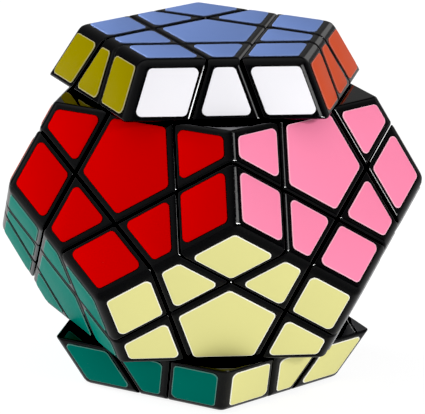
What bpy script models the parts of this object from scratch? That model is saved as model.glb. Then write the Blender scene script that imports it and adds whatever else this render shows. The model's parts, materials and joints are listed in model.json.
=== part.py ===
"""A dodecahedron twisty puzzle: twelve faces, each with a layer that turns about its own axis.

The puzzle stands on its bottom face. Its centre is INRADIUS above the origin, on the Z axis. Every
joint surface between two pieces is either a plane square to a face's axis or a ball about the
puzzle's centre, so that any layer can turn. The top and the bottom layer are turned half a step.
"""

import math
from itertools import combinations

import bmesh
import bpy
from mathutils import Matrix, Vector

# Driving dimensions, in metres. Heights are distances from the puzzle's centre along a face's axis.
INRADIUS = 0.035  # height of each outer face: the puzzle measures 70 mm from face to face
LAYER_DEPTH = 0.01105  # thickness of a turning layer
LAYER_TURN = math.radians(36)  # both end layers stand half a step from the aligned state
HALF_GAP = 0.00015  # each piece stops this far short of the surface that it shares with a neighbour
ROUNDING = 0.0008  # width of the rounding around each outer surface
FOOT_DROP = 0.004  # the feet are cut this much further in than the outer shells that they hold
FOOT_BALL = 0.033  # the feet lie inside this ball, the overhanging outer shells outside it
NECK_INSET = 0.0002  # the neck between a foot and its outer shell is this much slimmer than the foot
NECK_TOP = 0.0335  # the necks end this high, inside the outer shells

CORNER_FOOT_END = 0.0262  # blunt inner ends of the feet, along each piece's outward direction
EDGE_FOOT_END = 0.0248
PLUG_BOTTOM = 0.0235  # underside of a centre's plug

CORE_RADIUS = 0.009
ARM_RADIUS = 0.0048
ARM_TOP = 0.0185
STEM_RADIUS = 0.0056  # round stem under a centre, which stands over an arm of the core
STEM_BOTTOM = 0.0188

CAP_BOTTOM = 0.0333  # underside of a centre's cap
CAP_SEAT = 0.0330  # top of the centre that carries the cap
SPIGOT_RADIUS = 0.0039
SPIGOT_BOTTOM = 0.0322
RECESS_RADIUS = 0.0042  # well in a centre for the spring and the screw's head
RECESS_FLOOR = 0.0245

SHANK_RADIUS = 0.0013
SHANK_BOTTOM = 0.0105
BORE_RADIUS = 0.0016
BORE_BOTTOM = 0.0100
HEAD_RADIUS = 0.0027
HEAD_BOTTOM = 0.0298
HEAD_TOP = 0.0316
SLOT_WIDTH = 0.0007
SLOT_DEPTH = 0.0008

SPRING_BOTTOM = 0.0251  # lowest and highest points of the spring's wire centre line
SPRING_TOP = 0.0292
SPRING_RADIUS = 0.0024
WIRE_RADIUS = 0.0003
SPRING_TURNS = 4
POINTS_PER_TURN = 10

ROUND_SEGMENTS = 24
FINE_BALL = 4  # subdivisions of the ball that the overhanging shells are cut by
COARSE_BALL = 3  # and of the ball that the feet lie inside, and of the core

CUT = INRADIUS - LAYER_DEPTH  # height of the plane under each layer
FOOT_CUT = CUT - FOOT_DROP  # height of the plane under the feet of each layer
CENTRE = Vector((0, 0, INRADIUS))
UP = Vector((0, 0, 1))


def start_clean():
    for old in list(bpy.data.objects):
        bpy.data.objects.remove(old)


def material(name, colour, roughness, metallic):
    made = bpy.data.materials.new(name)
    made.use_nodes = True
    shader = made.node_tree.nodes["Principled BSDF"]
    shader.inputs["Base Color"].default_value = (*colour, 1)
    shader.inputs["Roughness"].default_value = roughness
    shader.inputs["Metallic"].default_value = metallic
    return made


def face_directions():
    """The twelve outward directions: top, five upper, five lower, bottom."""
    tilt = math.atan(0.5)  # elevation of the upper faces' axes on a regular dodecahedron
    faces = {"top": UP}
    for number in range(5):
        azimuth = math.radians(18 + 72 * number)
        level = Vector((math.cos(azimuth), math.sin(azimuth), 0)) * math.cos(tilt)
        faces[f"upper{number + 1}"] = level + UP * math.sin(tilt)
    for number in range(5):
        faces[f"lower{number + 1}"] = -faces[f"upper{number + 1}"]
    faces["bottom"] = -UP
    return faces


def are_neighbours(a, b):
    return 0.4 < a.dot(b) < 0.5


# Planes are pairs of an outward normal and a distance. A block keeps what lies behind all of them.
def below(direction, height):
    return direction, height


def above(direction, height):
    return -direction, -height


def block(planes):
    """A convex block: a cube larger than the puzzle, cut back by each plane."""
    shape = bmesh.new()
    bmesh.ops.create_cube(shape, size=4 * INRADIUS)
    for normal, distance in planes:
        cut = bmesh.ops.bisect_plane(
            shape,
            geom=shape.verts[:] + shape.edges[:] + shape.faces[:],
            dist=1e-7,
            plane_co=normal * distance,
            plane_no=normal,
            clear_outer=True,
        )
        rim = [item for item in cut["geom_cut"] if isinstance(item, bmesh.types.BMEdge)]
        bmesh.ops.edgeloop_fill(shape, edges=rim)
    bmesh.ops.recalc_face_normals(shape, faces=shape.faces)
    return shape


def round_outer_edges(shape, faces):
    """Chamfer the edges that lie in one of the puzzle's outer faces."""
    rim = []
    for edge in shape.edges:
        for face in faces:
            if all(abs(corner.co.dot(face) - INRADIUS) < 1e-6 for corner in edge.verts):
                rim.append(edge)
                break
    bmesh.ops.bevel(shape, geom=rim, offset=ROUNDING, segments=1, profile=0.5, affect="EDGES")


def as_object(shape, name="shape"):
    mesh = bpy.data.meshes.new(name)
    shape.to_mesh(mesh)
    shape.free()
    made = bpy.data.objects.new(name, mesh)
    bpy.context.scene.collection.objects.link(made)
    return made


def ball(radius, subdivisions):
    shape = bmesh.new()
    bmesh.ops.create_icosphere(shape, subdivisions=subdivisions, radius=radius)
    return as_object(shape)


def post(radius, bottom, top, axis=UP):
    """A round post along a face's axis, between two heights."""
    shape = bmesh.new()
    place = axis.to_track_quat("Z", "Y").to_matrix().to_4x4()
    bmesh.ops.create_cone(
        shape,
        cap_ends=True,
        segments=ROUND_SEGMENTS,
        radius1=radius,
        radius2=radius,
        depth=top - bottom,
        matrix=place @ Matrix.Translation((0, 0, (top + bottom) / 2)),
    )
    return as_object(shape)


def combine(base, operation, *tools):
    """Cut, join or intersect the base with each tool in turn. The tools are used up."""
    for tool in tools:
        step = base.modifiers.new("combine", "BOOLEAN")
        step.operation = operation
        step.object = tool
        evaluated = base.evaluated_get(bpy.context.evaluated_depsgraph_get())
        mesh = bpy.data.meshes.new_from_object(evaluated)
        base.modifiers.clear()
        base.data = mesh
        bpy.data.objects.remove(tool)
    return base


def seat(outward, towards):
    """The turn that puts local +Z along outward and local +X on the side of towards."""
    z = outward.normalized()
    x = (towards - z * towards.dot(z)).normalized()
    return Matrix((x, z.cross(x), z)).transposed().to_4x4()


def finished_mesh(shape, name, finish, turn):
    """The shape's mesh, turned back to its own upright frame, with its finish."""
    mesh = shape.data
    mesh.name = name
    mesh.transform(turn.inverted())
    mesh.materials.clear()
    mesh.materials.append(finish)
    bpy.data.objects.remove(shape)
    return mesh


def corner_shape(a, b, c):
    """A corner: a rhombic block with three outer sides, on a three-sided foot."""
    faces = (a, b, c)
    sides = [above(face, CUT + HALF_GAP) for face in faces]
    shell = block(sides + [below(face, INRADIUS) for face in faces])
    round_outer_edges(shell, faces)
    blunt_end = above((a + b + c).normalized(), CORNER_FOOT_END)
    foot = as_object(block([above(face, FOOT_CUT + HALF_GAP) for face in faces] + [blunt_end]))
    combine(foot, "INTERSECT", ball(FOOT_BALL - HALF_GAP, COARSE_BALL))
    return combine(as_object(shell), "UNION", foot)


def edge_shape(a, b, ends):
    """An edge: a block with two outer sides, joined by a neck to a foot that runs under the centres."""
    sides = [above(a, CUT + HALF_GAP), above(b, CUT + HALF_GAP)]
    shell = block(
        sides
        + [below(a, INRADIUS), below(b, INRADIUS)]
        + [below(end, CUT - HALF_GAP) for end in ends]
    )
    round_outer_edges(shell, (a, b))
    shell = combine(as_object(shell), "DIFFERENCE", ball(FOOT_BALL + HALF_GAP, FINE_BALL))
    foot = block(
        [above(a, FOOT_CUT + HALF_GAP), above(b, FOOT_CUT + HALF_GAP)]
        + [below(end, FOOT_CUT - HALF_GAP) for end in ends]
        + [above((a + b).normalized(), EDGE_FOOT_END)]
    )
    foot = combine(as_object(foot), "INTERSECT", ball(FOOT_BALL - HALF_GAP, COARSE_BALL))
    neck = block(
        [above(a, CUT + HALF_GAP + NECK_INSET), above(b, CUT + HALF_GAP + NECK_INSET)]
        + [below(end, FOOT_CUT - HALF_GAP - NECK_INSET) for end in ends]
        + [below(a, NECK_TOP), below(b, NECK_TOP)]
    )
    return combine(shell, "UNION", foot, as_object(neck))


def centre_shape(a, neighbours, top, stem_bottom):
    """A centre: a pentagonal plate on a tapered plug and a round stem, up to a given height."""
    plate = block([below(n, CUT - HALF_GAP) for n in neighbours] + [below(a, top), above(a, CUT)])
    if top == INRADIUS:
        round_outer_edges(plate, (a,))
    plate = combine(as_object(plate), "DIFFERENCE", ball(FOOT_BALL + HALF_GAP, FINE_BALL))
    plug = block([below(n, FOOT_CUT - HALF_GAP) for n in neighbours] + [above(a, PLUG_BOTTOM)])
    plug = combine(as_object(plug), "INTERSECT", ball(FOOT_BALL - HALF_GAP, COARSE_BALL))
    neck = block(
        [below(n, FOOT_CUT - HALF_GAP - NECK_INSET) for n in neighbours]
        + [above(a, RECESS_FLOOR), below(a, top - NECK_INSET)]
    )
    stem = post(STEM_RADIUS, stem_bottom, RECESS_FLOOR, a)
    return combine(plate, "UNION", plug, as_object(neck), stem)


def screwed_centre_shape(a, neighbours):
    """A centre open at its top: a well for the spring, and a bore for the screw down its stem."""
    shape = centre_shape(a, neighbours, CAP_SEAT, STEM_BOTTOM)
    well = post(RECESS_RADIUS, RECESS_FLOOR, INRADIUS, a)
    bore = post(BORE_RADIUS, BORE_BOTTOM, INRADIUS, a)
    return combine(shape, "DIFFERENCE", well, bore)


def cap_shape(a, neighbours):
    """The pentagonal lid of a centre, with a round spigot that drops into the well."""
    lid = block([below(n, CUT - HALF_GAP) for n in neighbours] + [below(a, INRADIUS), above(a, CAP_BOTTOM)])
    round_outer_edges(lid, (a,))
    spigot_top = (CAP_BOTTOM + INRADIUS) / 2
    return combine(as_object(lid), "UNION", post(SPIGOT_RADIUS, SPIGOT_BOTTOM, spigot_top, a))


def core_shape(faces):
    """The core: a ball with an arm to each face, joined to the ten side centres that it carries."""
    shape = ball(CORE_RADIUS, COARSE_BALL)
    for name, face in faces.items():
        around = [other for other in faces.values() if are_neighbours(face, other)]
        if name in ("top", "bottom"):
            combine(shape, "UNION", post(ARM_RADIUS, 0, ARM_TOP, face))
            combine(shape, "DIFFERENCE", post(BORE_RADIUS, BORE_BOTTOM, INRADIUS, face))
        else:
            arm_start = CORE_RADIUS / 2
            combine(shape, "UNION", centre_shape(face, around, INRADIUS, arm_start))
    return shape


def screw_shape():
    """A slotted round-head screw along +Z."""
    shape = combine(
        post(HEAD_RADIUS, HEAD_BOTTOM, HEAD_TOP),
        "UNION",
        post(SHANK_RADIUS, SHANK_BOTTOM, (HEAD_BOTTOM + HEAD_TOP) / 2),
    )
    slot = bmesh.new()
    bmesh.ops.create_cube(slot, size=1)
    bmesh.ops.scale(slot, vec=(4 * HEAD_RADIUS, SLOT_WIDTH, 2 * SLOT_DEPTH), verts=slot.verts)
    bmesh.ops.translate(slot, vec=(0, 0, HEAD_TOP), verts=slot.verts)
    return combine(shape, "DIFFERENCE", as_object(slot))


def spring_shape():
    """A compression spring along +Z: a wire wound on a helix."""
    curve = bpy.data.curves.new("spring", "CURVE")
    curve.dimensions = "3D"
    curve.bevel_depth = WIRE_RADIUS
    curve.bevel_resolution = 1
    curve.use_fill_caps = True
    wire = curve.splines.new("POLY")
    count = SPRING_TURNS * POINTS_PER_TURN + 1
    wire.points.add(count - 1)
    for step, point in enumerate(wire.points):
        angle = 2 * math.pi * step / POINTS_PER_TURN
        height = SPRING_BOTTOM + (SPRING_TOP - SPRING_BOTTOM) * step / (count - 1)
        point.co = (SPRING_RADIUS * math.cos(angle), SPRING_RADIUS * math.sin(angle), height, 1)
    coil = bpy.data.objects.new("spring", curve)
    bpy.context.scene.collection.objects.link(coil)
    evaluated = coil.evaluated_get(bpy.context.evaluated_depsgraph_get())
    shape = bmesh.new()
    shape.from_mesh(bpy.data.meshes.new_from_object(evaluated))
    bmesh.ops.remove_doubles(shape, verts=shape.verts, dist=1e-6)
    bpy.data.objects.remove(coil)
    return as_object(shape)


def pivot(name, collection):
    """The empty at the puzzle's centre that an end layer turns about."""
    made = bpy.data.objects.new(name, None)
    made.location = CENTRE
    made.rotation_euler.z = LAYER_TURN
    collection.objects.link(made)
    return made


def place(name, mesh, turn, carrier, collection):
    """One piece of the puzzle: a copy of a mesh, turned into its place about the puzzle's centre."""
    made = bpy.data.objects.new(name, mesh)
    collection.objects.link(made)
    if carrier is None:
        made.matrix_world = Matrix.Translation(CENTRE) @ turn
    else:
        made.parent = carrier
        made.matrix_basis = turn


start_clean()
puzzle = bpy.data.collections.new("dodecahedron_puzzle")
bpy.context.scene.collection.children.link(puzzle)

black_plastic = material("black_plastic", (0.012, 0.012, 0.013), 0.22, 0)
grey_plastic = material("grey_plastic", (0.05, 0.05, 0.055), 0.45, 0)
steel = material("steel", (0.55, 0.55, 0.56), 0.3, 1)

faces = face_directions()
layers = {
    "top": pivot("top_layer_pivot", puzzle),
    "bottom": pivot("bottom_layer_pivot", puzzle),
}


def carrier_of(names):
    """The pivot of the end layer that a piece belongs to, or None in the middle."""
    for end, carrier in layers.items():
        if end in names:
            return carrier
    return None


# Corners, one for each three faces that meet.
corners = [
    names
    for names in combinations(faces, 3)
    if all(are_neighbours(faces[a], faces[b]) for a, b in combinations(names, 2))
]
first = [faces[name] for name in corners[0]]
upright = seat(sum(first, Vector()), first[0])
corner_mesh = finished_mesh(corner_shape(*first), "corner", black_plastic, upright)
for names in corners:
    around = [faces[name] for name in names]
    turn = seat(sum(around, Vector()), around[0])
    place("corner_" + "_".join(names), corner_mesh, turn, carrier_of(names), puzzle)

# Edges, one for each two faces that meet.
edges = [names for names in combinations(faces, 2) if are_neighbours(*(faces[n] for n in names))]
a, b = (faces[name] for name in edges[0])
ends = [face for face in faces.values() if are_neighbours(face, a) and are_neighbours(face, b)]
edge_mesh = finished_mesh(edge_shape(a, b, ends), "edge", black_plastic, seat(a + b, a))
for names in edges:
    a, b = (faces[name] for name in names)
    place("edge_" + "_".join(names), edge_mesh, seat(a + b, a), carrier_of(names), puzzle)

# The two end centres, their caps, and the screw and spring that hold each on the core.
side = faces["upper1"]
around_top = [face for face in faces.values() if are_neighbours(face, UP)]
upright = seat(UP, side)
centre_mesh = finished_mesh(screwed_centre_shape(UP, around_top), "centre", black_plastic, upright)
cap_mesh = finished_mesh(cap_shape(UP, around_top), "cap", black_plastic, upright)
screw_mesh = finished_mesh(screw_shape(), "screw", steel, Matrix())
spring_mesh = finished_mesh(spring_shape(), "spring", steel, Matrix())
for end, carrier in layers.items():
    turn = seat(faces[end], side if end == "top" else -side)
    place(end + "_centre", centre_mesh, turn, carrier, puzzle)
    place(end + "_centre_cap", cap_mesh, turn, carrier, puzzle)
    place(end + "_screw", screw_mesh, turn, None, puzzle)
    place(end + "_spring", spring_mesh, turn, None, puzzle)

core_mesh = finished_mesh(core_shape(faces), "core", grey_plastic, Matrix())
place("core_with_side_centres", core_mesh, Matrix(), None, puzzle)
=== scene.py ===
"""A dodecahedron twisty puzzle: sixty-two glossy black pieces with coloured vinyl labels, held
together by a core, screws, washers and springs. Its top and bottom layers stand half a step round.
"""

import json
import math
import random
from itertools import combinations

import bmesh
import bpy
from mathutils import Matrix, Vector

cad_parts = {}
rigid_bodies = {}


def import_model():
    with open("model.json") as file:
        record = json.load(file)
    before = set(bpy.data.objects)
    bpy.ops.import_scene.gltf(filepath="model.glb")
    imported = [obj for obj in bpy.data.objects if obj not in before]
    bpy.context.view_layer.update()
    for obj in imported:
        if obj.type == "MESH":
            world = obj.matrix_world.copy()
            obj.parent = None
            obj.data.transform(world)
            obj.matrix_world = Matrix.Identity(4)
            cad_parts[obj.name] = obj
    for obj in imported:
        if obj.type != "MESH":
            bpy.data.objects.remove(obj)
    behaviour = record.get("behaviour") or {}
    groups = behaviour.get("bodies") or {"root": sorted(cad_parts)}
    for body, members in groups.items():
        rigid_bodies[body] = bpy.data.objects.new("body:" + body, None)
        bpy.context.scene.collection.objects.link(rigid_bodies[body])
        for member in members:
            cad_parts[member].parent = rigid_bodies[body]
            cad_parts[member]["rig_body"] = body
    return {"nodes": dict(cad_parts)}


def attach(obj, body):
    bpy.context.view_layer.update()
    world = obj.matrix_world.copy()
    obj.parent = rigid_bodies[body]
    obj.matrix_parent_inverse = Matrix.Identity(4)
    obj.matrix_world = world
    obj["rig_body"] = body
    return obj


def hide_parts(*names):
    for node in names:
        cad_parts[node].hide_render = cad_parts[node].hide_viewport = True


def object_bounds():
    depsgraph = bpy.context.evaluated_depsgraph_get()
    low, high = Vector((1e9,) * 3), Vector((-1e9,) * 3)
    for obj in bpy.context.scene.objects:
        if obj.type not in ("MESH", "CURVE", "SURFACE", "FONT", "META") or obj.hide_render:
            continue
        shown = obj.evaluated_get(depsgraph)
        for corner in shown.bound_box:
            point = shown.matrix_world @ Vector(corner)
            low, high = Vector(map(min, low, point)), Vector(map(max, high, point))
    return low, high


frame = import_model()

cad_lowest, cad_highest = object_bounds()

# The studio: a white sweep under the puzzle, a small softbox in front on the right, a large one low
# behind on the left that the gloss doesn't mirror, three that only the gloss mirrors, and a long
# lens that looks down a little on the puzzle's front.
INRADIUS = (cad_highest.z - cad_lowest.z) / 2  # from the puzzle's centre to each of its faces
CENTRE = Vector((0, 0, cad_lowest.z + INRADIUS))
STANDING_ON = cad_lowest.z

CAMERA_AZIMUTH = math.radians(-6.69)
CAMERA_ELEVATION = math.radians(16.925)
CAMERA_ROLL = math.radians(0.794)
CAMERA_DISTANCE = 0.6472
CAMERA_RIGHT = 0.00067  # how far the view's middle lies right of the puzzle's centre
CAMERA_DOWN = 0.00101  # and below it
CAMERA_LENS = 275.49
BLACK_POINT = 0.02  # linear brightness that the camera's contrast turns black

SWEEP_SIZE = 12.0
SWEEP_WHITE = (0.20, 0.20, 0.20)
SWEEP_GLOW = 0.88
SWEEP_MIRRORED = 0.45  # share of that glow that the glossy plastic mirrors
ROOM_WHITE = 1.0  # what the camera sees behind the puzzle
ROOM_BEHIND = 0.21  # how bright the same wall lights the puzzle and shows in its gloss
ROOM_LEFT = 0.65  # the walls beside and behind the camera
ROOM_RIGHT = 0.50
ROOM_ABOVE = 0.15  # added towards the ceiling


def from_the_camera_side(azimuth, elevation):
    """The direction from the puzzle to a light or a camera. Azimuth 0 is in front, 90 right."""
    level = math.cos(elevation)
    return Vector((math.sin(azimuth) * level, -math.cos(azimuth) * level, math.sin(elevation)))


def softbox(name, azimuth, elevation, distance, width, height, power, tilt=0, shows="both"):
    """A rectangular light aimed at the puzzle, with its angles in degrees. It shows as light on the
    puzzle's surfaces, mirrored in their gloss, or as both."""
    light = bpy.data.lights.new(name, "AREA")
    light.shape = "RECTANGLE"
    light.size = width
    light.size_y = height
    light.energy = power
    towards = from_the_camera_side(math.radians(azimuth), math.radians(elevation))
    lamp = bpy.data.objects.new(name, light)
    lamp.matrix_world = Matrix.Translation(CENTRE + towards * distance) @ (
        towards.to_track_quat("Z", "Y").to_matrix().to_4x4()
    ) @ Matrix.Rotation(math.radians(tilt), 4, "Z")
    lamp.visible_diffuse = shows != "mirrored"
    lamp.visible_glossy = shows != "light"
    bpy.context.scene.collection.objects.link(lamp)


back = from_the_camera_side(CAMERA_AZIMUTH, CAMERA_ELEVATION)
level_right = Vector((math.cos(CAMERA_AZIMUTH), math.sin(CAMERA_AZIMUTH), 0))
level_up = back.cross(level_right)
right = level_right * math.cos(CAMERA_ROLL) + level_up * math.sin(CAMERA_ROLL)
up = back.cross(right)
lens = bpy.data.cameras.new("camera")
lens.lens = CAMERA_LENS
lens.clip_start = 0.01
camera = bpy.data.objects.new("camera", lens)
camera.matrix_world = Matrix.Translation(
    CENTRE + back * CAMERA_DISTANCE + level_right * CAMERA_RIGHT - level_up * CAMERA_DOWN
) @ Matrix((right, up, back)).transposed().to_4x4()
bpy.context.scene.collection.objects.link(camera)
bpy.context.scene.camera = camera
look = bpy.context.scene.view_settings
look.view_transform = "Standard"
look.use_curve_mapping = True
look.curve_mapping.black_level = [BLACK_POINT] * 3
look.curve_mapping.update()

softbox(
    "key_softbox", azimuth=30, elevation=24, distance=1.1, width=0.16, height=0.14, power=4.5
)
softbox(
    "left_softbox",
    azimuth=-118,
    elevation=7,
    distance=1.3,
    width=0.7,
    height=0.4,
    power=27,
    shows="light",
)
softbox(
    "key_edge",
    azimuth=37,
    elevation=23.5,
    distance=1.1,
    width=0.66,
    height=0.14,
    power=10.5,
    tilt=-27,
    shows="mirrored",
)
softbox(
    "high_edge",
    azimuth=32,
    elevation=40,
    distance=1.1,
    width=0.5,
    height=0.11,
    power=0.65,
    shows="mirrored",
)
softbox(
    "back_softbox",
    azimuth=142,
    elevation=20,
    distance=1.5,
    width=0.7,
    height=0.5,
    power=0.5,
    shows="mirrored",
)


class Wire:
    """What a node sends out. Sums of wires and numbers add Math nodes to their tree."""

    def __init__(self, wiring, socket):
        self.wiring = wiring
        self.socket = socket

    def maths(self, operation, first, second):
        return self.wiring.add("ShaderNodeMath", {"operation": operation}, {0: first, 1: second})

    def __add__(self, other):
        return self.maths("ADD", self, other)

    def __radd__(self, other):
        return self.maths("ADD", other, self)

    def __sub__(self, other):
        return self.maths("SUBTRACT", self, other)

    def __rsub__(self, other):
        return self.maths("SUBTRACT", other, self)

    def __mul__(self, other):
        return self.maths("MULTIPLY", self, other)

    def __rmul__(self, other):
        return self.maths("MULTIPLY", other, self)


class Wiring:
    """A node tree, with one method that adds a node: its kind, its settings, then its sockets."""

    def __init__(self, tree):
        self.tree = tree

    def add(self, kind, settings=None, sockets=None, out=None):
        node = self.tree.nodes.new(kind)
        for setting, value in (settings or {}).items():
            setattr(node, setting, value)
        for name, value in (sockets or {}).items():
            self.plug(node, name, value)
        shown = [socket for socket in node.outputs if socket.enabled]
        if not shown:
            return node
        named = [socket for socket in shown if socket.name == out]
        return Wire(self, (named or shown)[0])

    def plug(self, node, name, value):
        """Sets a socket, or links what is given to it. A list is linked wire by wire."""
        if isinstance(name, int):
            socket = node.inputs[name]
        else:
            socket = next(s for s in node.inputs if s.enabled and s.name == name)
        for item in value if isinstance(value, list) else [value]:
            if isinstance(item, Wire):
                self.tree.links.new(item.socket, socket)
            else:
                socket.default_value = item


# The room is white to the camera. The puzzle sees a dimmer wall behind it and brighter ones beside.
room = bpy.data.worlds.new("room")
room.use_nodes = True
room.node_tree.nodes.clear()
walls = Wiring(room.node_tree)
direction = walls.add("ShaderNodeTexCoord", out="Generated")
across = walls.add("ShaderNodeSeparateXYZ", {}, {"Vector": direction}, "X")
depth = walls.add("ShaderNodeSeparateXYZ", {}, {"Vector": direction}, "Y")
upwards = walls.add("ShaderNodeSeparateXYZ", {}, {"Vector": direction}, "Z")
side = walls.add(
    "ShaderNodeMapRange",
    {"interpolation_type": "SMOOTHSTEP"},
    {"Value": across, "From Min": -0.7, "From Max": 0.5, "To Min": ROOM_LEFT, "To Max": ROOM_RIGHT},
)
behind = walls.add(
    "ShaderNodeMapRange",
    {"interpolation_type": "SMOOTHSTEP"},
    {"Value": depth, "From Min": 0.40, "From Max": 0.65},
)
overhead = walls.add(
    "ShaderNodeMapRange",
    {"interpolation_type": "SMOOTHSTEP"},
    {"Value": upwards, "From Min": 0.65, "From Max": 1.0, "To Max": ROOM_ABOVE},
)
lit = side + behind * (ROOM_BEHIND - side) + overhead
seen = walls.add("ShaderNodeLightPath", out="Is Camera Ray")
strength = lit + seen * (ROOM_WHITE - lit)
glow = walls.add("ShaderNodeBackground", {}, {"Color": (1, 1, 1, 1), "Strength": strength})
walls.add("ShaderNodeOutputWorld", {}, {"Surface": glow})
bpy.context.scene.world = room

bpy.ops.mesh.primitive_plane_add(size=SWEEP_SIZE, location=(0, 0, STANDING_ON))
sweep = bpy.context.object
sweep.name = "sweep"
sweep_paper = bpy.data.materials.new("sweep_paper")
sweep_paper.use_nodes = True
paper = sweep_paper.node_tree.nodes["Principled BSDF"]
paper.inputs["Base Color"].default_value = (*SWEEP_WHITE, 1)
paper.inputs["Roughness"].default_value = 0.9
paper.inputs["Specular IOR Level"].default_value = 0.1
printed = Wiring(sweep_paper.node_tree)
mirrored = printed.add("ShaderNodeLightPath", out="Is Glossy Ray")
paper_glow = printed.add(
    "ShaderNodeMix",
    {"data_type": "RGBA"},
    {"Factor": mirrored, "A": (1, 1, 1, 1), "B": (*[SWEEP_MIRRORED] * 3, 1)},
)
printed.plug(paper, "Emission Color", paper_glow)
paper.inputs["Emission Strength"].default_value = SWEEP_GLOW
sweep.data.materials.append(sweep_paper)


# Corner pieces, twenty. Each is moulded of glossy black ABS, with three outer sides and with a
# three-sided foot under them. The three edge pieces beside it trap the foot.
LAYER_DEPTH = 0.01105  # thickness of a turning layer
FOOT_DROP = 0.004  # how much further in the feet are cut than the shells above them
CUT = INRADIUS - LAYER_DEPTH  # distance from the centre to the plane under each layer
FOOT_CUT = CUT - FOOT_DROP  # and to the plane under the feet
HALF_GAP = 0.00006  # each piece stops this far short of its neighbours
LABEL_THICKNESS = 0.00018
SKIN = INRADIUS - LABEL_THICKNESS  # the plastic's outer faces, which the labels stand proud of
RIDGE_ROUNDING = 0.0015  # width of the rounding between two outer faces
RIM_ROUNDING = 0.0007  # around the mouth of a groove
WALL_ROUNDING = 0.0006  # between two walls of a groove
ROUNDING_STEPS = 5
FOOT_BALL = 0.033  # the feet lie inside this ball, the overhanging shells outside it
CORNER_FOOT_END = 0.0262  # the feet end bluntly, this far from the puzzle's centre
BALL_STEPS = 5
BALL_TURN = math.radians(17)
SLIVER = 4e-6  # faces thinner than this, left by the cuts, are cleaned away
SAME_POINT = 1e-7  # points closer than this are one point
ON_SKIN = 1e-6  # and points this close to an outer face are on it
SHARP = math.radians(40)  # edges with a wider turn than this are shaded sharp
LAYER_TURN = math.radians(36)  # both end layers stand half a step round
LOOSE_SLIDE = 0.000015  # how far a piece sits from its ideal place
LOOSE_TWIST = math.radians(0.12)
UP = Vector((0, 0, 1))

looseness = random.Random(12)


def face_directions():
    """The twelve outward directions: top, five upper, five lower, bottom."""
    tilt = math.atan(0.5)  # elevation of the upper faces' axes on a regular dodecahedron
    directions = {"top": UP}
    for number in range(5):
        azimuth = math.radians(18 + 72 * number)
        level = Vector((math.cos(azimuth), math.sin(azimuth), 0)) * math.cos(tilt)
        directions[f"upper{number + 1}"] = level + UP * math.sin(tilt)
    for number in range(5):
        directions[f"lower{number + 1}"] = -directions[f"upper{number + 1}"]
    directions["bottom"] = -UP
    return directions


def are_neighbours(a, b):
    return 0.4 < a.dot(b) < 0.5


def seat(outward, towards):
    """The turn that puts local +Z along outward and local +X on the side of towards."""
    z = outward.normalized()
    x = (towards - z * towards.dot(z)).normalized()
    return Matrix((x, z.cross(x), z)).transposed().to_4x4()


def below(direction, height):
    return direction, height


def above(direction, height):
    return -direction, -height


def block(planes):
    """A convex block: a cube larger than the puzzle, cut back by each plane."""
    shape = bmesh.new()
    bmesh.ops.create_cube(shape, size=4 * INRADIUS)
    for normal, distance in planes:
        cut = bmesh.ops.bisect_plane(
            shape,
            geom=shape.verts[:] + shape.edges[:] + shape.faces[:],
            dist=SAME_POINT,
            plane_co=normal * distance,
            plane_no=normal,
            clear_outer=True,
        )
        rim = [item for item in cut["geom_cut"] if isinstance(item, bmesh.types.BMEdge)]
        bmesh.ops.edgeloop_fill(shape, edges=rim)
    bmesh.ops.recalc_face_normals(shape, faces=shape.faces)
    return shape


def as_object(shape, name="shape"):
    mesh = bpy.data.meshes.new(name)
    shape.to_mesh(mesh)
    shape.free()
    made = bpy.data.objects.new(name, mesh)
    bpy.context.scene.collection.objects.link(made)
    return made


def apply_modifiers(made):
    """Swaps an object's mesh for the one that its modifiers make of it."""
    evaluated = made.evaluated_get(bpy.context.evaluated_depsgraph_get())
    mesh = bpy.data.meshes.new_from_object(evaluated)
    made.modifiers.clear()
    made.data = mesh
    return made


def rounded(shape, faces):
    """A moulded shell: wide roundings on its ridges, small ones at its rims and between walls."""
    weights = shape.edges.layers.float.new("bevel_weight_edge")
    widths = {0: WALL_ROUNDING, 1: RIM_ROUNDING, 2: RIDGE_ROUNDING}
    for edge in shape.edges:
        sides = [
            face
            for face in faces
            if all(abs(corner.co.dot(face) - SKIN) < ON_SKIN for corner in edge.verts)
        ]
        edge[weights] = widths[len(sides)] / RIDGE_ROUNDING
    made = as_object(shape)
    bevel = made.modifiers.new("rounding", "BEVEL")
    bevel.limit_method = "WEIGHT"
    bevel.width = RIDGE_ROUNDING
    bevel.segments = ROUNDING_STEPS
    return apply_modifiers(made)


def ball(radius):
    """A ball, turned askew so that its facets line up with no edge that it cuts."""
    shape = bmesh.new()
    askew = Matrix.Rotation(BALL_TURN, 4, Vector((1, 2, 3)))
    bmesh.ops.create_icosphere(shape, subdivisions=BALL_STEPS, radius=radius, matrix=askew)
    return as_object(shape)


def combine(base, operation, *tools):
    """Cut, join or intersect the base with each tool in turn. The tools are used up."""
    for tool in tools:
        step = base.modifiers.new("combine", "BOOLEAN")
        step.operation = operation
        step.object = tool
        apply_modifiers(base)
        bpy.data.objects.remove(tool)
    return base


def pattern_mesh(shape, turn):
    """The mesh that a piece's copies are made from, shaded, in the piece's own upright frame."""
    clean = bmesh.new()
    clean.from_mesh(shape.data)
    bmesh.ops.remove_doubles(clean, verts=clean.verts, dist=SLIVER)
    bmesh.ops.dissolve_degenerate(clean, edges=clean.edges, dist=SLIVER)
    bmesh.ops.connect_verts_concave(clean, faces=clean.faces)
    clean.to_mesh(shape.data)
    clean.free()
    shape.data.transform(turn.inverted())
    shape.data.shade_smooth()
    shape.data.set_sharp_from_angle(angle=SHARP)
    weighted = shape.modifiers.new("flats", "WEIGHTED_NORMAL")
    weighted.keep_sharp = True
    weighted.weight = 100
    apply_modifiers(shape)
    mesh = shape.data
    bpy.data.objects.remove(shape)
    return mesh


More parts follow.
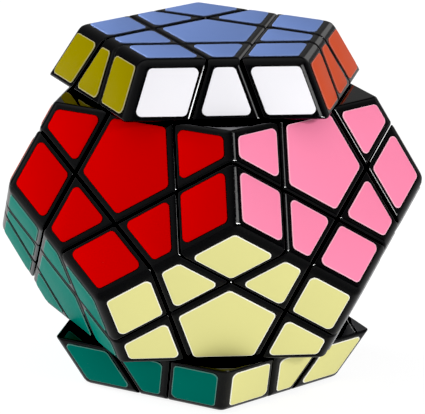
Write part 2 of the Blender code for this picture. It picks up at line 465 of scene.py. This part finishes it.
def sit(names, outward):
    """Where a piece of the given faces sits: its layer's turn, and a little play in its seat."""
    layer = Matrix.Rotation(LAYER_TURN, 4, "Z") if {"top", "bottom"} & set(names) else Matrix()
    axis = UP if "bottom" in names else outward  # the bottom stays flat on the floor
    twist = Matrix.Rotation(looseness.uniform(-LOOSE_TWIST, LOOSE_TWIST), 4, axis)
    slide = Vector([looseness.uniform(-LOOSE_SLIDE, LOOSE_SLIDE) for _ in range(3)])
    slide.z = abs(slide.z)  # nothing sinks into the floor
    return Matrix.Translation(CENTRE) @ layer @ Matrix.Translation(slide) @ twist


def fit(name, pattern, place, finish, body, slot, *stands_for):
    """One finished piece: a copy of its pattern with its place in its mesh, on its body."""
    mesh = pattern.copy()
    mesh.name = name
    mesh.transform(place)
    mesh.materials.clear()
    mesh.materials.append(finish)
    piece = bpy.data.objects.new(name, mesh)
    bpy.context.scene.collection.objects.link(piece)
    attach(piece, body)
    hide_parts(*stands_for)


def polished_plastic(name, colour, polish):
    """Moulded ABS from a polished tool: nearly black, faintly rippled, with handling marks."""
    finish = bpy.data.materials.new(name)
    finish.use_nodes = True
    shader = finish.node_tree.nodes["Principled BSDF"]
    nodes = Wiring(finish.node_tree)
    place = nodes.add("ShaderNodeTexCoord", out="Object")
    smudges = nodes.add("ShaderNodeTexNoise", {}, {"Vector": place, "Scale": 140.0, "Detail": 4.0})
    dust = nodes.add("ShaderNodeTexNoise", {}, {"Vector": place, "Scale": 2600.0, "Detail": 2.0})
    ripple = nodes.add("ShaderNodeTexNoise", {}, {"Vector": place, "Scale": 420.0, "Detail": 1.0})
    stretched = nodes.add("ShaderNodeMapping", {}, {"Vector": place, "Scale": (900, 6000, 2500)})
    scratches = nodes.add(
        "ShaderNodeTexNoise", {}, {"Vector": stretched, "Scale": 1.0, "Detail": 3.0}
    )
    marks = nodes.add(
        "ShaderNodeMapRange", {}, {"Value": scratches, "From Min": 0.62, "From Max": 0.72}
    )
    darker = tuple(0.6 * part for part in colour)
    lighter = tuple(1.5 * part for part in colour)
    tint = nodes.add(
        "ShaderNodeMix",
        {"data_type": "RGBA"},
        {"Factor": smudges, "A": (*darker, 1), "B": (*lighter, 1)},
    )
    nodes.plug(shader, "Base Color", tint)
    nodes.plug(shader, "Roughness", polish + smudges * 0.07 + marks * 0.06)
    relief = ripple * 0.6 + dust * 0.15 - marks * 0.25
    bump = nodes.add(
        "ShaderNodeBump", {}, {"Height": relief, "Strength": 0.035, "Distance": 0.0004}
    )
    nodes.plug(shader, "Normal", bump)
    shader.inputs["IOR"].default_value = 1.53
    shader.inputs["Specular IOR Level"].default_value = 0.4
    return finish


faces = face_directions()
black_plastic = polished_plastic("black_plastic", (0.0022, 0.0022, 0.0025), 0.03)
body_of = {name: node["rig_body"] for name, node in frame["nodes"].items()}
stuck_on = []  # for each label: its face, its piece's faces, its body, its kind and its place


def corner_shape(a, b, c):
    sides = (a, b, c)
    walls = [above(face, CUT + HALF_GAP) for face in sides]
    shell = rounded(block(walls + [below(face, SKIN) for face in sides]), sides)
    blunt_end = above((a + b + c).normalized(), CORNER_FOOT_END)
    foot = as_object(block([above(face, FOOT_CUT + HALF_GAP) for face in sides] + [blunt_end]))
    combine(foot, "INTERSECT", ball(FOOT_BALL - HALF_GAP))
    return combine(shell, "UNION", foot)


corners = [
    names
    for names in combinations(faces, 3)
    if all(are_neighbours(faces[a], faces[b]) for a, b in combinations(names, 2))
]
first = [faces[name] for name in corners[0]]
corner_pattern = pattern_mesh(corner_shape(*first), seat(sum(first, Vector()), first[0]))
for names in corners:
    node = "corner_" + "_".join(names)
    sides = [faces[name] for name in names]
    outward = sum(sides, Vector()).normalized()
    held = sit(names, outward)
    turn = held @ seat(outward, sides[0])
    body = body_of[node]
    fit("moulded_" + node, corner_pattern, turn, black_plastic, body, "corner_plastic", node)
    for name in names:
        stuck_on.append((name, names, body, "corner", held @ seat(faces[name], outward)))


# Edge pieces, thirty. Each is moulded of the same ABS, with two outer sides on a neck and a foot
# that runs in under the two centres beside it. The spring-loaded centres press the feet inwards.
EDGE_FOOT_END = 0.0248
NECK_INSET = 0.0002  # the neck is this much slimmer than the foot
NECK_TOP = 0.0335  # inside the shell, above the ball that the shell is cut by


def edge_shape(a, b, ends):
    walls = [above(a, CUT + HALF_GAP), above(b, CUT + HALF_GAP)]
    walls += [below(end, CUT - HALF_GAP) for end in ends]
    shell = rounded(block(walls + [below(a, SKIN), below(b, SKIN)]), (a, b))
    combine(shell, "DIFFERENCE", ball(FOOT_BALL + HALF_GAP))
    foot = block(
        [above(a, FOOT_CUT + HALF_GAP), above(b, FOOT_CUT + HALF_GAP)]
        + [below(end, FOOT_CUT - HALF_GAP) for end in ends]
        + [above((a + b).normalized(), EDGE_FOOT_END)]
    )
    foot = combine(as_object(foot), "INTERSECT", ball(FOOT_BALL - HALF_GAP))
    neck = block(
        [above(a, CUT + HALF_GAP + NECK_INSET), above(b, CUT + HALF_GAP + NECK_INSET)]
        + [below(end, FOOT_CUT - HALF_GAP - NECK_INSET) for end in ends]
        + [below(a, NECK_TOP), below(b, NECK_TOP)]
    )
    return combine(shell, "UNION", foot, as_object(neck))


edges = [names for names in combinations(faces, 2) if are_neighbours(*(faces[n] for n in names))]
a, b = (faces[name] for name in edges[0])
ends = [face for face in faces.values() if are_neighbours(face, a) and are_neighbours(face, b)]
edge_pattern = pattern_mesh(edge_shape(a, b, ends), seat(a + b, a))
for names in edges:
    node = "edge_" + "_".join(names)
    a, b = (faces[name] for name in names)
    held = sit(names, (a + b).normalized())
    turn = held @ seat(a + b, a)
    body = body_of[node]
    fit("moulded_" + node, edge_pattern, turn, black_plastic, body, "edge_plastic", node)
    for name in names:
        stuck_on.append((name, names, body, "edge", held @ seat(faces[name], a + b)))


# Centre pieces, twelve. Each is a pentagonal plate on a tapered plug and a round stem, open at the
# top for its spring and screw. It turns on its screw, on the end of one of the core's arms.
PLUG_BOTTOM = 0.0235
STEM_RADIUS = 0.0056
STEM_BOTTOM = 0.0188
STEM_TOP = 0.0239  # inside the plug, as the neck's lower end is
NECK_BOTTOM = 0.0242
CAP_SEAT = 0.0330  # top of the plate, which carries the cap
RECESS_RADIUS = 0.0042  # the well for the spring and the screw's head
RECESS_FLOOR = 0.0245
BORE_RADIUS = 0.0016
BORE_BOTTOM = 0.0100
ROUND_STEPS = 48


def post(radius, bottom, top):
    """A round post along +Z, between two heights."""
    shape = bmesh.new()
    bmesh.ops.create_cone(
        shape,
        cap_ends=True,
        segments=ROUND_STEPS,
        radius1=radius,
        radius2=radius,
        depth=top - bottom,
        matrix=Matrix.Translation((0, 0, (top + bottom) / 2)),
    )
    return as_object(shape)


def centre_shape(around):
    sides = [below(face, CUT - HALF_GAP) for face in around]
    plate = rounded(block(sides + [below(UP, CAP_SEAT), above(UP, CUT)]), ())
    combine(plate, "DIFFERENCE", ball(FOOT_BALL + HALF_GAP))
    plug = block([below(face, FOOT_CUT - HALF_GAP) for face in around] + [above(UP, PLUG_BOTTOM)])
    plug = combine(as_object(plug), "INTERSECT", ball(FOOT_BALL - HALF_GAP))
    neck = block(
        [below(face, FOOT_CUT - HALF_GAP - NECK_INSET) for face in around]
        + [above(UP, NECK_BOTTOM), below(UP, CAP_SEAT - NECK_INSET)]
    )
    stem = post(STEM_RADIUS, STEM_BOTTOM, STEM_TOP)
    combine(plate, "UNION", plug, as_object(neck), stem)
    well = post(RECESS_RADIUS, RECESS_FLOOR, INRADIUS)
    bore = post(BORE_RADIUS, BORE_BOTTOM, INRADIUS)
    return combine(plate, "DIFFERENCE", well, bore)


def along(face):
    """The turn that puts a centre, an arm or a screw on its face's axis."""
    return seat(face, next(other for other in faces.values() if are_neighbours(face, other)))


def node_of(name, part):
    """The CAD node with a face's part: its own node at the top and bottom, else the core's."""
    return f"{name}_{part}" if name in ("top", "bottom") else "core_with_side_centres"


around_top = [face for face in faces.values() if are_neighbours(face, UP)]
centre_pattern = pattern_mesh(centre_shape(around_top), seat(UP, around_top[0]))
sockets = {}  # how each face's centre sits, which its cap shares
for name, face in faces.items():
    node = node_of(name, "centre")
    body = body_of[node]
    place = sit((name,), face) @ along(face)
    sockets[name] = place
    title = f"moulded_{name}_centre"
    fit(title, centre_pattern, place, black_plastic, body, "centre_plastic", node)


# Centre caps, twelve. Each is a pentagonal lid of the same ABS that hides the screw. Its round
# spigot presses into the centre's well, and the joint between the two shows only inside a groove.
CAP_BOTTOM = 0.0333
SPIGOT_RADIUS = 0.0039
SPIGOT_BOTTOM = 0.0322


def cap_shape(around):
    sides = [below(face, CUT - HALF_GAP) for face in around]
    lid = rounded(block(sides + [below(UP, SKIN), above(UP, CAP_BOTTOM)]), (UP,))
    return combine(lid, "UNION", post(SPIGOT_RADIUS, SPIGOT_BOTTOM, (CAP_BOTTOM + SKIN) / 2))


cap_pattern = pattern_mesh(cap_shape(around_top), seat(UP, around_top[0]))
for name, place in sockets.items():
    node = node_of(name, "centre_cap")
    body = body_of[node]
    fit(f"moulded_{name}_cap", cap_pattern, place, black_plastic, body, "cap_plastic", node)
    stuck_on.append((name, (name,), body, "centre", place))


# The core, one ball of duller grey-black nylon, moulded with twelve arms that are bored for their
# screws. It carries all the rest, and none of it shows while the puzzle is together.
CORE_RADIUS = 0.0097
ARM_RADIUS = 0.0048
ARM_TOP = 0.0185


def core_shape():
    shape = ball(CORE_RADIUS)
    for face in faces.values():
        arm = post(ARM_RADIUS, CORE_RADIUS / 2, ARM_TOP)
        arm.data.transform(along(face))
        combine(shape, "UNION", arm)
    for face in faces.values():
        bore = post(BORE_RADIUS, BORE_BOTTOM, INRADIUS)
        bore.data.transform(along(face))
        combine(shape, "DIFFERENCE", bore)
    return shape


core_nylon = polished_plastic("core_nylon", (0.03, 0.03, 0.033), 0.38)
fit(
    "moulded_core",
    pattern_mesh(core_shape(), Matrix()),
    Matrix.Translation(CENTRE),
    core_nylon,
    "middle",
    "core_plastic",
    "core_with_side_centres",
)


# Screws, washers and springs, twelve of each. A slotted steel screw holds each centre on its arm.
# A wound spring, under a washer at its head, lets the centre lift as the layers pass each other.
SHANK_RADIUS = 0.0013
SHANK_BOTTOM = 0.0105
HEAD_RADIUS = 0.0027
HEAD_BOTTOM = 0.0298
HEAD_TOP = 0.0316
HEAD_ROUNDING = 0.0005
ROUNDING_MIDDLE = 0.3 * HEAD_ROUNDING  # how far in from the head's corner the rounding's middle is
SLOT_WIDTH = 0.0007
SLOT_DEPTH = 0.0008
WASHER_BOTTOM = 0.02954
WASHER_TOP = 0.02978
WASHER_HOLE = 0.00145
WASHER_RADIUS = 0.0032
WASHER_EDGE = 0.00005  # its edges are broken by this much
SPRING_BOTTOM = 0.0251  # lowest and highest points of its wire's centre line
SPRING_TOP = 0.0292
SPRING_RADIUS = 0.0024
WIRE_RADIUS = 0.0003
SPRING_TURNS = 4
END_CLOSING = 0.35  # share by which the pitch drops at a spring's two ends
SMALL_PART_SHARP = math.radians(35)


def drawn_steel(name, colour, dullness):
    """Plated steel with fine turned or drawn lines and a little tarnish."""
    finish = bpy.data.materials.new(name)
    finish.use_nodes = True
    shader = finish.node_tree.nodes["Principled BSDF"]
    nodes = Wiring(finish.node_tree)
    place = nodes.add("ShaderNodeTexCoord", out="Object")
    tarnish = nodes.add("ShaderNodeTexNoise", {}, {"Vector": place, "Scale": 900.0, "Detail": 4.0})
    lines = nodes.add("ShaderNodeTexNoise", {}, {"Vector": place, "Scale": 6000.0, "Detail": 2.0})
    dull = tuple(0.55 * part for part in colour)
    tint = nodes.add(
        "ShaderNodeMix",
        {"data_type": "RGBA"},
        {"Factor": tarnish, "A": (*dull, 1), "B": (*colour, 1)},
    )
    nodes.plug(shader, "Base Color", tint)
    nodes.plug(shader, "Roughness", dullness + tarnish * 0.15)
    bump = nodes.add("ShaderNodeBump", {}, {"Height": lines, "Strength": 0.1, "Distance": 0.0001})
    nodes.plug(shader, "Normal", bump)
    shader.inputs["Metallic"].default_value = 1.0
    return finish


def points_object(name, places, kinds=None):
    """One loose point for each place, with the place's turn, and its kind, as attributes."""
    mesh = bpy.data.meshes.new(name)
    mesh.from_pydata([place.to_translation() for place in places], [], [])
    turns = mesh.attributes.new("turn", "FLOAT_VECTOR", "POINT")
    for index, place in enumerate(places):
        turns.data[index].vector = place.to_euler()
    if kinds:
        held = mesh.attributes.new("kind", "INT", "POINT")
        for index, kind in enumerate(kinds):
            held.data[index].value = kind
    made = bpy.data.objects.new(name, mesh)
    bpy.context.scene.collection.objects.link(made)
    return made


def new_tree(name, inputs):
    """A Geometry Nodes tree with named inputs. Returns its wiring, and its inputs as wires."""
    tree = bpy.data.node_groups.new(name, "GeometryNodeTree")
    tree.interface.new_socket("Geometry", in_out="INPUT", socket_type="NodeSocketGeometry")
    for title, (kind, value) in inputs.items():
        socket = tree.interface.new_socket(title, in_out="INPUT", socket_type=kind)
        if value is not None:
            socket.default_value = value
    tree.interface.new_socket("Geometry", in_out="OUTPUT", socket_type="NodeSocketGeometry")
    wiring = Wiring(tree)
    entry = tree.nodes.new("NodeGroupInput")
    given = {s.name: Wire(wiring, s) for s in entry.outputs if s.name}
    return wiring, given


def finish_tree(wiring, copies, finish):
    """Ends a tree: its copies made real, with their finish."""
    real = wiring.add("GeometryNodeRealizeInstances", {}, {"Geometry": copies})
    done = wiring.add("GeometryNodeSetMaterial", {}, {"Geometry": real, "Material": finish})
    wiring.add("NodeGroupOutput", {}, {"Geometry": done})
    return wiring.tree


def set_out(wiring, points, copy, chosen=True):
    """Copies on the chosen points, each turned as its point says."""
    euler = wiring.add(
        "GeometryNodeInputNamedAttribute", {"data_type": "FLOAT_VECTOR"}, {"Name": "turn"}
    )
    turn = wiring.add("FunctionNodeEulerToRotation", {}, {"Euler": euler})
    return wiring.add(
        "GeometryNodeInstanceOnPoints",
        {},
        {"Points": points, "Selection": chosen, "Instance": copy, "Rotation": turn},
    )


def grown(base, tree, values):
    """Runs a tree on an object and keeps the result as its plain mesh."""
    step = base.modifiers.new("grow", "NODES")
    step.node_group = tree
    for item in tree.interface.items_tree:
        if item.in_out == "INPUT" and item.name in values:
            step[item.identifier] = values[item.name]
    return apply_modifiers(base)


def turned(name, profile, closed):
    """A piece turned about +Z from its profile of radii and heights."""
    count = len(profile)
    sides = [(first, (first + 1) % count) for first in range(count if closed else count - 1)]
    mesh = bpy.data.meshes.new(name)
    mesh.from_pydata([(radius, 0, height) for radius, height in profile], sides, [])
    made = bpy.data.objects.new(name, mesh)
    bpy.context.scene.collection.objects.link(made)
    lathe = made.modifiers.new("lathe", "SCREW")
    lathe.steps = ROUND_STEPS
    lathe.render_steps = ROUND_STEPS
    lathe.use_merge_vertices = True
    lathe.merge_threshold = SAME_POINT
    apply_modifiers(made)
    shape = bmesh.new()
    shape.from_mesh(made.data)
    bmesh.ops.recalc_face_normals(shape, faces=shape.faces)
    shape.to_mesh(made.data)
    shape.free()
    return made


def screw_pattern():
    """A slotted pan-head screw."""
    profile = [
        (0, SHANK_BOTTOM),
        (0.6 * SHANK_RADIUS, SHANK_BOTTOM),
        (SHANK_RADIUS, SHANK_BOTTOM + SHANK_RADIUS),
        (SHANK_RADIUS, HEAD_BOTTOM),
        (HEAD_RADIUS, HEAD_BOTTOM),
        (HEAD_RADIUS, HEAD_TOP - HEAD_ROUNDING),
        (HEAD_RADIUS - ROUNDING_MIDDLE, HEAD_TOP - ROUNDING_MIDDLE),
        (HEAD_RADIUS - HEAD_ROUNDING, HEAD_TOP),
        (0, HEAD_TOP),
    ]
    slot = bmesh.new()
    bmesh.ops.create_cube(slot, size=1)
    bmesh.ops.scale(slot, vec=(4 * HEAD_RADIUS, SLOT_WIDTH, 2 * SLOT_DEPTH), verts=slot.verts)
    bmesh.ops.translate(slot, vec=(0, 0, HEAD_TOP), verts=slot.verts)
    return combine(turned("screw", profile, closed=False), "DIFFERENCE", as_object(slot))


def washer_pattern():
    """A flat washer, stamped from sheet, with its edges broken."""
    profile = [
        (WASHER_HOLE, WASHER_BOTTOM),
        (WASHER_RADIUS - WASHER_EDGE, WASHER_BOTTOM),
        (WASHER_RADIUS, WASHER_BOTTOM + WASHER_EDGE),
        (WASHER_RADIUS, WASHER_TOP - WASHER_EDGE),
        (WASHER_RADIUS - WASHER_EDGE, WASHER_TOP),
        (WASHER_HOLE, WASHER_TOP),
    ]
    return turned("washer", profile, closed=True)


def finish_group(name, grown_object, body, slot, *stands_for):
    """Shades a grown mesh, names it and hands it to its body."""
    grown_object.name = name
    grown_object.data.name = name
    grown_object.data.shade_smooth()
    grown_object.data.set_sharp_from_angle(angle=SMALL_PART_SHARP)
    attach(grown_object, body)
    if stands_for:
        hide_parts(*stands_for)


upright_arms = [Matrix.Translation(CENTRE) @ along(face) for face in faces.values()]

screw_steel = drawn_steel("screw_steel", (0.62, 0.62, 0.63), 0.22)
arm_wiring, given = new_tree(
    "set_out_on_arms", {"Part": ("NodeSocketObject", None), "Finish": ("NodeSocketMaterial", None)}
)
one_part = arm_wiring.add("GeometryNodeObjectInfo", {}, {"Object": given["Part"]}, "Geometry")
on_arms = set_out(arm_wiring, given["Geometry"], one_part)
arm_tree = finish_tree(arm_wiring, on_arms, given["Finish"])
for name, part, nodes in (
    ("screws", screw_pattern(), ("top_screw", "bottom_screw")),
    ("washers", washer_pattern(), ()),
):
    points = points_object(name, upright_arms)
    parts = grown(points, arm_tree, {"Part": part, "Finish": screw_steel})
    bpy.data.objects.remove(part)
    finish_group(name, parts, "middle", "screw_steel", *nodes)

spring_wiring, given = new_tree(
    "wind_springs",
    {
        "Coil Radius": ("NodeSocketFloat", SPRING_RADIUS),
        "Wire Radius": ("NodeSocketFloat", WIRE_RADIUS),
        "Bottom": ("NodeSocketFloat", SPRING_BOTTOM),
        "Length": ("NodeSocketFloat", SPRING_TOP - SPRING_BOTTOM),
        "Turns": ("NodeSocketFloat", SPRING_TURNS),
        "End Closing": ("NodeSocketFloat", END_CLOSING),
        "Finish": ("NodeSocketMaterial", None),
    },
)
helix = spring_wiring.add(
    "GeometryNodeCurveSpiral",
    {},
    {
        "Resolution": 24,
        "Rotations": given["Turns"],
        "Start Radius": given["Coil Radius"],
        "End Radius": given["Coil Radius"],
        "Height": given["Length"],
    },
)
wound_so_far = spring_wiring.add("GeometryNodeSplineParameter", out="Factor")
eased = spring_wiring.add(
    "ShaderNodeMapRange", {"interpolation_type": "SMOOTHSTEP"}, {"Value": wound_so_far}
)
lift = given["Bottom"] + (eased - wound_so_far) * given["Length"] * given["End Closing"]
lifted = spring_wiring.add("ShaderNodeCombineXYZ", {}, {"Z": lift})
closed = spring_wiring.add("GeometryNodeSetPosition", {}, {"Geometry": helix, "Offset": lifted})
wire = spring_wiring.add(
    "GeometryNodeCurvePrimitiveCircle", {}, {"Resolution": 10, "Radius": given["Wire Radius"]}
)
wound = spring_wiring.add(
    "GeometryNodeCurveToMesh", {}, {"Curve": closed, "Profile Curve": wire, "Fill Caps": True}
)
spring_tree = finish_tree(
    spring_wiring, set_out(spring_wiring, given["Geometry"], wound), given["Finish"]
)
springs = grown(
    points_object("springs", upright_arms),
    spring_tree,
    {"Finish": drawn_steel("spring_steel", (0.50, 0.50, 0.52), 0.30)},
)
finish_group("springs", springs, "middle", "spring_steel", "top_spring", "bottom_spring")


# Labels, one on each outer side of each piece, 132 in all: printed vinyl, die-cut to a pentagon, a
# trapezoid or a rhombus with round corners. The cut shows the paler vinyl as a thin line.
LABEL_SUNK = 0.00002  # the adhesive side lies this much below the plastic's surface
LABEL_LIP = 0.00017  # width of the pale cut line round a label
LABEL_LIP_DROP = 0.00005  # how far the film falls away across it
LABEL_CORNER = 0.0010
LABEL_CORNER_STEPS = 7
CENTRE_LABEL = 0.00801  # from its middle to its sides
EDGE_LABEL_START = 0.01054  # its broad side, from the middle of its face
EDGE_LABEL_END = 0.01987  # its narrow side
EDGE_LABEL_BROAD = 0.01001
EDGE_LABEL_NARROW = 0.00394
CORNER_LABEL_AT = 0.01880  # its middle, from the middle of its face
CORNER_LABEL_WIDTH = 0.01584
CORNER_LABEL_LENGTH = 0.01151
KINDS = ("centre", "edge", "corner")
KIND_AT = {  # how far each kind's middle is from the middle of its face
    "centre": 0.0,
    "edge": (EDGE_LABEL_START + EDGE_LABEL_END) / 2,
    "corner": CORNER_LABEL_AT,
}
VINYL = {  # printed colour, and how pale its cut line is
    "blue": ((0.20, 0.305, 0.66), 0.08),
    "white": ((0.87, 0.86, 0.90), 0.0),
    "olive": ((0.195, 0.160, 0.001), 0.20),
    "orange_red": ((0.66, 0.090, 0.033), 0.12),
    "red": ((0.515, 0.002, 0.002), 0.0),
    "pink": ((0.94, 0.253, 0.415), 0.40),
    "green": ((0.002, 0.135, 0.104), 0.12),
    "pale_yellow": ((0.715, 0.685, 0.28), 0.90),
    "lime": ((0.25, 0.50, 0.04), 0.25),
    "violet": ((0.14, 0.05, 0.33), 0.20),
    "turquoise": ((0.05, 0.42, 0.48), 0.20),
    "grey": ((0.30, 0.30, 0.31), 0.20),
}
HOME = {  # each face's own colour
    "top": "blue",
    "upper1": "olive",
    "upper2": "white",
    "upper3": "orange_red",
    "upper4": "red",
    "upper5": "pink",
    "lower1": "green",
    "lower2": "pale_yellow",
    "lower3": "grey",
    "lower4": "violet",
    "lower5": "turquoise",
    "bottom": "lime",
}
TOP_LAYER_STEPS = 2  # faces that the top layer was turned by, besides the half step


def colour_on(face, names):
    """The colour that a piece shows on a face. The top layer's strips come from two faces back."""
    if "top" in names and face != "top":
        number = (int(face[-1]) - 1 - TOP_LAYER_STEPS) % 5 + 1
        return HOME[f"upper{number}"]
    return HOME[face]


def vinyl(name, colour, cut_paleness):
    """Satin vinyl film: even colour, fine grain, faint scuffs, and a pale line where it is cut."""
    finish = bpy.data.materials.new(name)
    finish.use_nodes = True
    shader = finish.node_tree.nodes["Principled BSDF"]
    nodes = Wiring(finish.node_tree)
    place = nodes.add("ShaderNodeTexCoord", out="Object")
    tone = nodes.add("ShaderNodeAttribute", {"attribute_name": "tone"}, out="Fac")
    cut = nodes.add("ShaderNodeAttribute", {"attribute_name": "cut"}, out="Fac")
    cloud = nodes.add("ShaderNodeTexNoise", {}, {"Vector": place, "Scale": 160.0, "Detail": 3.0})
    grain = nodes.add("ShaderNodeTexNoise", {}, {"Vector": place, "Scale": 5200.0, "Detail": 2.0})
    swell = nodes.add("ShaderNodeTexNoise", {}, {"Vector": place, "Scale": 230.0, "Detail": 1.0})
    stretched = nodes.add("ShaderNodeMapping", {}, {"Vector": place, "Scale": (700, 2600, 4800)})
    strands = nodes.add(
        "ShaderNodeTexNoise", {}, {"Vector": stretched, "Scale": 1.0, "Detail": 3.0}
    )
    scuffs = nodes.add(
        "ShaderNodeMapRange", {}, {"Value": strands, "From Min": 0.66, "From Max": 0.74}
    )
    deep = tuple(part * 0.95 for part in colour)
    pale = tuple(1 - (1 - part) * 0.25 for part in colour)
    body_tint = nodes.add(
        "ShaderNodeMix",
        {"data_type": "RGBA"},
        {"Factor": tone * 0.7 + cloud * 0.3, "A": (*deep, 1), "B": (*colour, 1)},
    )
    tint = nodes.add(
        "ShaderNodeMix",
        {"data_type": "RGBA"},
        {"Factor": cut * cut_paleness + scuffs * 0.04, "A": body_tint, "B": (*pale, 1)},
    )
    nodes.plug(shader, "Base Color", tint)
    nodes.plug(shader, "Roughness", 0.42 + cloud * 0.10 + scuffs * 0.12 + cut * 0.15)
    relief = swell * 0.7 + grain * 0.3
    bump = nodes.add(
        "ShaderNodeBump", {}, {"Height": relief, "Strength": 0.05, "Distance": 0.0002}
    )
    nodes.plug(shader, "Normal", bump)
    shader.inputs["Specular IOR Level"].default_value = 0.11
    return finish


def label_outlines(wiring, given):
    """The three die-cut outlines, each with its middle at the origin and its outer end along +X."""
    pentagon = wiring.add(
        "GeometryNodeCurvePrimitiveCircle", {}, {"Resolution": 5, "Radius": given["Centre Size"]}
    )
    trapezoid = wiring.add(
        "GeometryNodeCurvePrimitiveQuadrilateral",
        {"mode": "TRAPEZOID"},
        {
            "Bottom Width": given["Edge Broad"],
            "Top Width": given["Edge Narrow"],
            "Offset": 0.0,
            "Height": given["Edge Length"],
        },
    )
    rhombus = wiring.add(
        "GeometryNodeCurvePrimitiveQuadrilateral",
        {"mode": "KITE"},
        {
            "Width": given["Corner Width"],
            "Bottom Height": given["Corner Length"] * 0.5,
            "Top Height": given["Corner Length"] * 0.5,
        },
    )
    turns = ((pentagon, math.pi / 5), (trapezoid, -math.pi / 2), (rhombus, -math.pi / 2))
    return [
        wiring.add("GeometryNodeTransform", {}, {"Geometry": outline, "Rotation": (0, 0, turn)})
        for outline, turn in turns
    ]


def cut_label(wiring, given, outline, lip_scale):
    """A closed slip of film from its outline: walls, a small lip that is marked as cut, a face."""
    filleted = wiring.add(
        "GeometryNodeFilletCurve",
        {"mode": "POLY"},
        {"Curve": outline, "Radius": given["Corner Radius"], "Count": given["Corner Steps"]},
    )
    sheet = wiring.add("GeometryNodeFillCurve", {"mode": "NGONS"}, {"Curve": filleted})
    walls = wiring.tree.nodes.new("GeometryNodeExtrudeMesh")
    wiring.plug(walls, "Mesh", sheet)
    wiring.plug(walls, "Offset Scale", given["Thickness"] - given["Lip Drop"])
    lip = wiring.tree.nodes.new("GeometryNodeExtrudeMesh")
    wiring.plug(lip, "Mesh", Wire(wiring, walls.outputs["Mesh"]))
    wiring.plug(lip, "Selection", Wire(wiring, walls.outputs["Top"]))
    wiring.plug(lip, "Offset Scale", given["Lip Drop"])
    top = Wire(wiring, lip.outputs["Top"])
    drawn_in = wiring.add(
        "GeometryNodeScaleElements",
        {},
        {"Geometry": Wire(wiring, lip.outputs["Mesh"]), "Selection": top, "Scale": lip_scale},
    )
    marked = wiring.add(
        "GeometryNodeStoreNamedAttribute",
        {"data_type": "FLOAT", "domain": "FACE"},
        {"Geometry": drawn_in, "Name": "cut", "Value": 1 - top},
    )
    underside = wiring.add("GeometryNodeFlipFaces", {}, {"Mesh": sheet})
    both = wiring.add("GeometryNodeJoinGeometry", {}, {"Geometry": [marked, underside]})
    return wiring.add(
        "GeometryNodeMergeByDistance", {}, {"Geometry": both, "Distance": SAME_POINT}
    )


def label_tree():
    wiring, given = new_tree(
        "cut_labels",
        {
            "Centre Size": ("NodeSocketFloat", CENTRE_LABEL / math.cos(math.pi / 5)),
            "Edge Broad": ("NodeSocketFloat", EDGE_LABEL_BROAD),
            "Edge Narrow": ("NodeSocketFloat", EDGE_LABEL_NARROW),
            "Edge Length": ("NodeSocketFloat", EDGE_LABEL_END - EDGE_LABEL_START),
            "Corner Width": ("NodeSocketFloat", CORNER_LABEL_WIDTH),
            "Corner Length": ("NodeSocketFloat", CORNER_LABEL_LENGTH),
            "Corner Radius": ("NodeSocketFloat", LABEL_CORNER),
            "Corner Steps": ("NodeSocketInt", LABEL_CORNER_STEPS),
            "Thickness": ("NodeSocketFloat", LABEL_THICKNESS + LABEL_SUNK),
            "Lip Drop": ("NodeSocketFloat", LABEL_LIP_DROP),
            "Finish": ("NodeSocketMaterial", None),
            "Seed": ("NodeSocketInt", 5),
        },
    )
    kind = wiring.add("GeometryNodeInputNamedAttribute", {"data_type": "INT"}, {"Name": "kind"})
    half_widths = (
        CENTRE_LABEL,
        (EDGE_LABEL_END - EDGE_LABEL_START) / 2,
        CORNER_LABEL_LENGTH / 2,
    )
    stuck = []
    for number, outline in enumerate(label_outlines(wiring, given)):
        label = cut_label(wiring, given, outline, 1 - LABEL_LIP / half_widths[number])
        chosen = wiring.add(
            "FunctionNodeCompare", {"data_type": "INT", "operation": "EQUAL"}, {2: kind, 3: number}
        )
        stuck.append(set_out(wiring, given["Geometry"], label, chosen))
    together = wiring.add("GeometryNodeJoinGeometry", {}, {"Geometry": stuck})
    tone = wiring.add("FunctionNodeRandomValue", {"data_type": "FLOAT"}, {"Seed": given["Seed"]})
    toned = wiring.add(
        "GeometryNodeStoreNamedAttribute",
        {"data_type": "FLOAT", "domain": "INSTANCE"},
        {"Geometry": together, "Name": "tone", "Value": tone},
    )
    return finish_tree(wiring, toned, given["Finish"])


films = {name: vinyl(f"{name}_vinyl", *recipe) for name, recipe in VINYL.items()}
tree = label_tree()
groups = {}  # the labels of one colour on one body, which are made together
for face, names, body, kind, place in stuck_on:
    raised = Matrix.Translation((KIND_AT[kind], 0, SKIN - LABEL_SUNK))
    groups.setdefault((colour_on(face, names), body), []).append((kind, place @ raised))
for number, ((colour, body), members) in enumerate(groups.items()):
    places = [place for _, place in members]
    kinds = [KINDS.index(kind) for kind, _ in members]
    name = f"{colour}_labels_{body}"
    points = points_object(name, places, kinds)
    labels = grown(points, tree, {"Finish": films[colour], "Seed": number})
    finish_group(name, labels, body, None)
